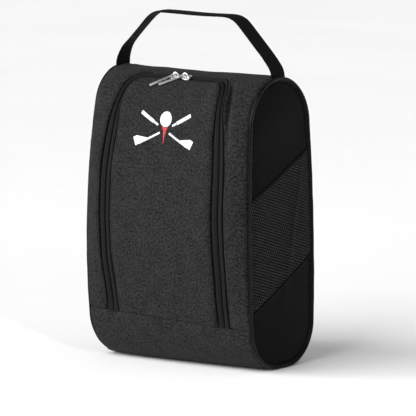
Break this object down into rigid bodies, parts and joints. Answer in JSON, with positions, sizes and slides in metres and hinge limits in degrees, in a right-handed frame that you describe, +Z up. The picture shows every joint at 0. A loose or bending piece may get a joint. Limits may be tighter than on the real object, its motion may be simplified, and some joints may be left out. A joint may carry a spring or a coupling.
{
  "type": "golf shoe bag",
  "caption": "Upright padded shoe bag with a U-shaped double-slider zip, a fold-down front flap, mesh side vents, piped seams and a webbing carry handle.",
  "frame": {"origin": "middle of the flat strip of base that the bag rests on", "axes": "+Z up to the handle, the zipped front flap faces -Y, +X is to the right when looking at the front"},
  "size_m": [0.22, 0.141, 0.3835],
  "materials": {
    "body_fabric": "padded dark grey polyester, fine speckled weave",
    "side_cloth": "smooth near-black coated cloth",
    "spacer_mesh": "black open spacer mesh",
    "piping": "glossy black vinyl piping",
    "piping_core": "extruded PE core cord",
    "binding_tape": "woven black binding tape",
    "zip_tape": "black woven polyester zip tape",
    "zip_coil": "black nylon coil",
    "slider_metal": "bright nickel-plated die-cast zinc",
    "webbing": "black flat-woven polypropylene webbing",
    "stiffener_sheet": "thin black PE sheet",
    "label_cloth": "blank white satin label",
    "emblem_white": "white embroidery",
    "emblem_red": "red embroidery"
  },
  "bodies": {
    "bag": {"back_panel": "body_fabric", "base_panel": "body_fabric", "base_stiffener": "stiffener_sheet", "care_label": "label_cloth", "front_frame_panel": "body_fabric", "handle_anchor_left": "webbing", "handle_anchor_right": "webbing", "piping_core_left": "piping_core", "piping_core_right": "piping_core", "piping_left": "piping", "piping_right": "piping", "seam_binding_left": "binding_tape", "seam_binding_right": "binding_tape", "side_lower_left": "side_cloth", "side_lower_right": "side_cloth", "side_mesh_left": "spacer_mesh", "side_mesh_right": "spacer_mesh", "side_upper_left": "side_cloth", "side_upper_right": "side_cloth", "zip_coil_frame": "zip_coil", "zip_tape_frame": "zip_tape"},
    "flap": {"flap_panel": "body_fabric", "zip_tape_flap": "zip_tape", "zip_coil_flap": "zip_coil", "emblem_ball": "emblem_white", "emblem_tee": "emblem_red", "emblem_clubs": "emblem_white"},
    "slider_left_body": {"slider_left": "slider_metal", "slider_bail_left": "slider_metal"},
    "slider_right_body": {"slider_right": "slider_metal", "slider_bail_right": "slider_metal"},
    "pull_left_body": {"pull_left": "slider_metal"},
    "pull_right_body": {"pull_right": "slider_metal"},
    "handle": {"handle_strap": "webbing"}
  },
  "joints": [
    {"name": "flap_hinge", "type": "hinge", "parent": "bag", "child": "flap", "pos_m": [0, -0.05961, 0.052], "axis": [1, 0, 0], "range_deg": [0, 95]},
    {"name": "slider_left_run", "type": "slide", "parent": "flap", "child": "slider_left_body", "axis": [-1, 0, 0], "range_m": [0, 0.027]},
    {"name": "slider_right_run", "type": "slide", "parent": "flap", "child": "slider_right_body", "axis": [1, 0, 0], "range_m": [0, 0.037]},
    {"name": "pull_left_flip", "type": "hinge", "parent": "slider_left_body", "child": "pull_left_body", "pos_m": [-0.0115, -0.02775, 0.31639], "axis": [0, 0.8988, 0.4384], "range_deg": [0, 145]},
    {"name": "pull_right_flip", "type": "hinge", "parent": "slider_right_body", "child": "pull_right_body", "pos_m": [0.0015, -0.02775, 0.31639], "axis": [0, 0.8988, 0.4384], "range_deg": [0, 165]},
    {"name": "handle_tip", "type": "hinge", "parent": "bag", "child": "handle", "pos_m": [0, 0, 0.3363], "axis": [1, 0, 0], "range_deg": [-75, 75], "stiffness_Nm_per_rad": 0.05}
  ]
}
